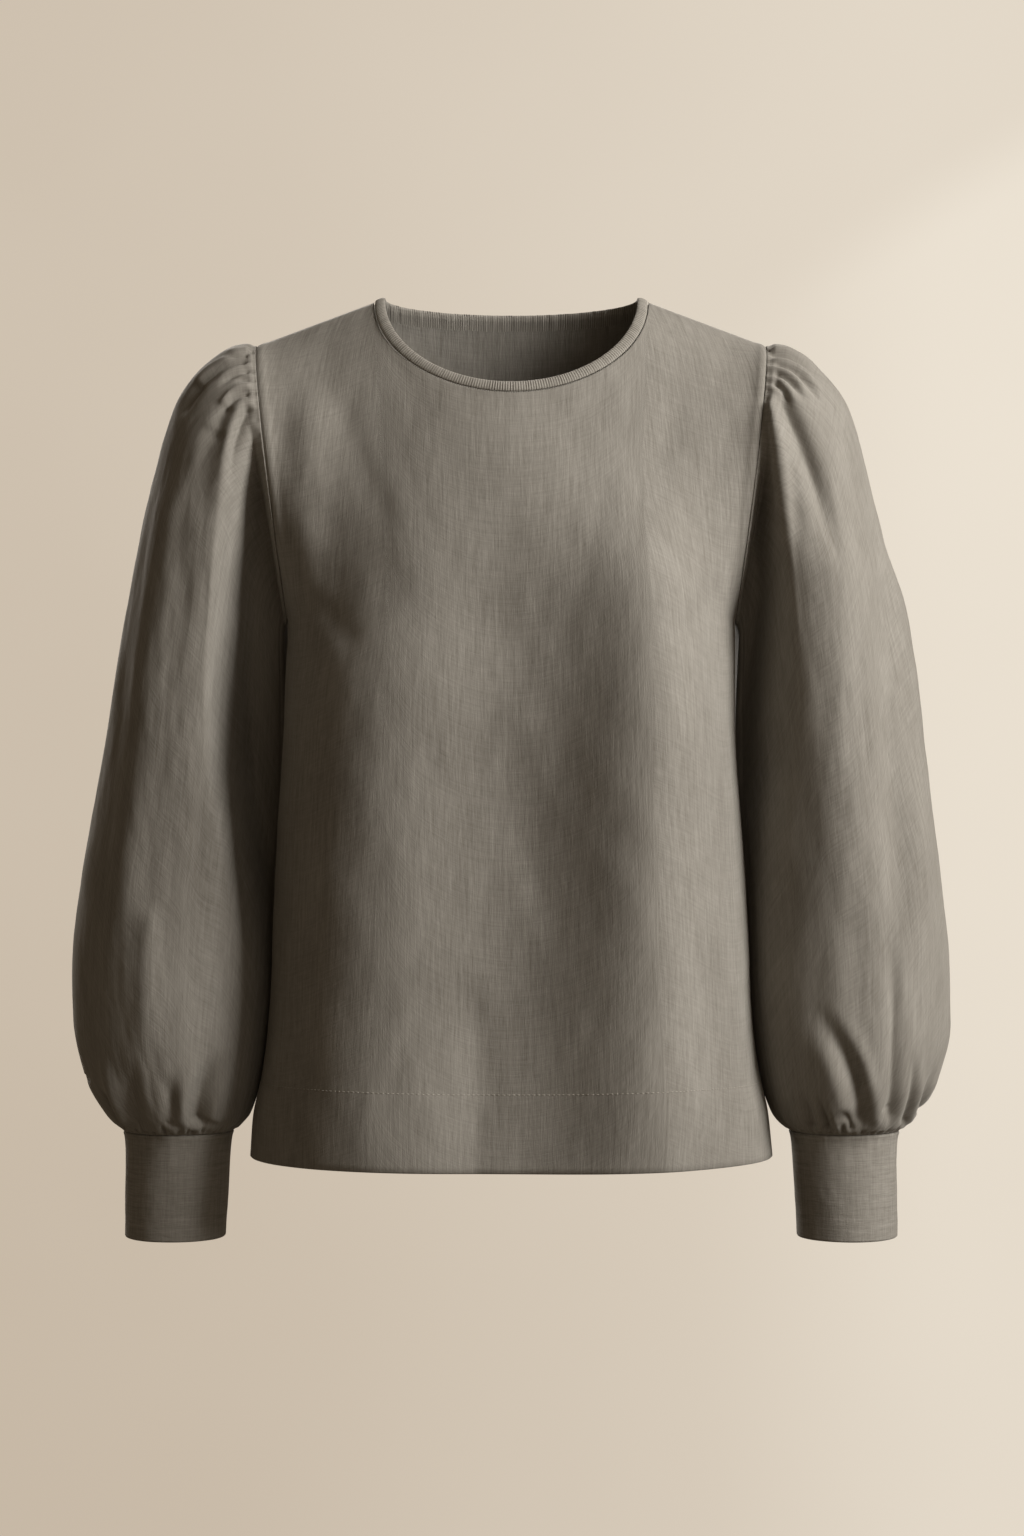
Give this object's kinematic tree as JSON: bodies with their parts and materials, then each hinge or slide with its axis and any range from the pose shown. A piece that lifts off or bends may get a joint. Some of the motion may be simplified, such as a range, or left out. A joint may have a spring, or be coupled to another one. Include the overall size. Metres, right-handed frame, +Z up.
{
  "type": "puff sleeve blouse",
  "caption": "Round-neck linen blouse with long full sleeves gathered at the cap and into plain deep cuffs, hollow as worn, open at neck, hem and cuffs.",
  "frame": {"origin": "middle of the neck opening, at the height of the shoulder seams' inner ends", "axes": "+Z up, the front faces -Y, +X is the wearer's left"},
  "size_m": [0.6352, 0.2375, 0.6732],
  "materials": {
    "linen": "washed matte linen, warm grey",
    "binding": "finely ribbed matte band, warm grey"
  },
  "bodies": {
    "root": {"front": "linen", "back": "linen", "sleeve_left": "linen", "sleeve_right": "linen", "cuff_left": "linen", "cuff_right": "linen", "neck_binding": "binding"}
  },
  "joints": []
}
